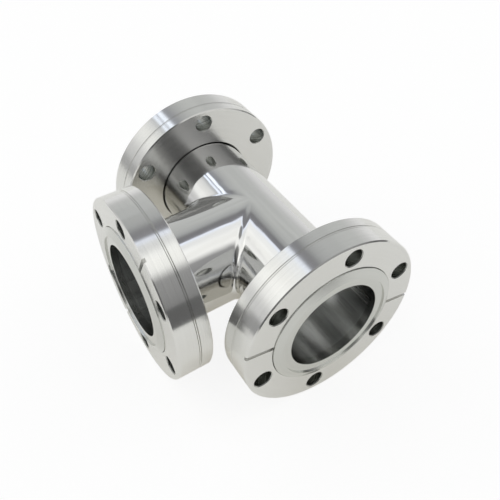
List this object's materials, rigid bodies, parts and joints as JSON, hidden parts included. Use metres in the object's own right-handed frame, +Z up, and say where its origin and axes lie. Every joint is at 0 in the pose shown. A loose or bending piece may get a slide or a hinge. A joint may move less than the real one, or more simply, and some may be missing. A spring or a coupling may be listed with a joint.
{
  "type": "vacuum tee",
  "caption": "Equal tee of polished stainless tube with a knife-edge vacuum port at each end, each in a loose bolt ring that turns and slides a little.",
  "frame": {"origin": "where the axis of the run meets the axis of the branch", "axes": "+X along the run towards the right port, -Y along the branch towards its port, +Z up, square to the plane of the tee"},
  "size_m": [0.1028, 0.0861, 0.0694],
  "materials": {
    "polished_tube": "mirror-polished stainless steel",
    "knife_ring": "fine-turned stainless steel",
    "bolt_ring": "satin face, turned rim, stainless steel",
    "spring_wire": "drawn spring steel"
  },
  "bodies": {
    "body": {"run_tube": "polished_tube", "branch_tube": "polished_tube", "knife_ring_right": "knife_ring", "knife_ring_back": "knife_ring", "knife_ring_branch": "knife_ring"},
    "wire_right": {"retaining_wire_right": "spring_wire"},
    "ring_right": {"bolt_ring_right": "bolt_ring"},
    "wire_back": {"retaining_wire_back": "spring_wire"},
    "ring_back": {"bolt_ring_back": "bolt_ring"},
    "wire_branch": {"retaining_wire_branch": "spring_wire"},
    "ring_branch": {"bolt_ring_branch": "bolt_ring"}
  },
  "joints": [
    {"name": "ring_turn_right", "type": "hinge", "parent": "body", "child": "wire_right", "pos_m": [0.0499, 0, 0], "axis": [1, 0, 0], "continuous": true},
    {"name": "ring_slide_right", "type": "slide", "parent": "wire_right", "child": "ring_right", "axis": [1, 0, 0], "range_m": [0, 0.0021]},
    {"name": "ring_turn_back", "type": "hinge", "parent": "body", "child": "wire_back", "pos_m": [-0.0499, 0, 0], "axis": [-1, 0, 0], "continuous": true},
    {"name": "ring_slide_back", "type": "slide", "parent": "wire_back", "child": "ring_back", "axis": [-1, 0, 0], "range_m": [0, 0.0021]},
    {"name": "ring_turn_branch", "type": "hinge", "parent": "body", "child": "wire_branch", "pos_m": [0, -0.0499, 0], "axis": [0, -1, 0], "continuous": true},
    {"name": "ring_slide_branch", "type": "slide", "parent": "wire_branch", "child": "ring_branch", "axis": [0, -1, 0], "range_m": [0, 0.0021]}
  ]
}
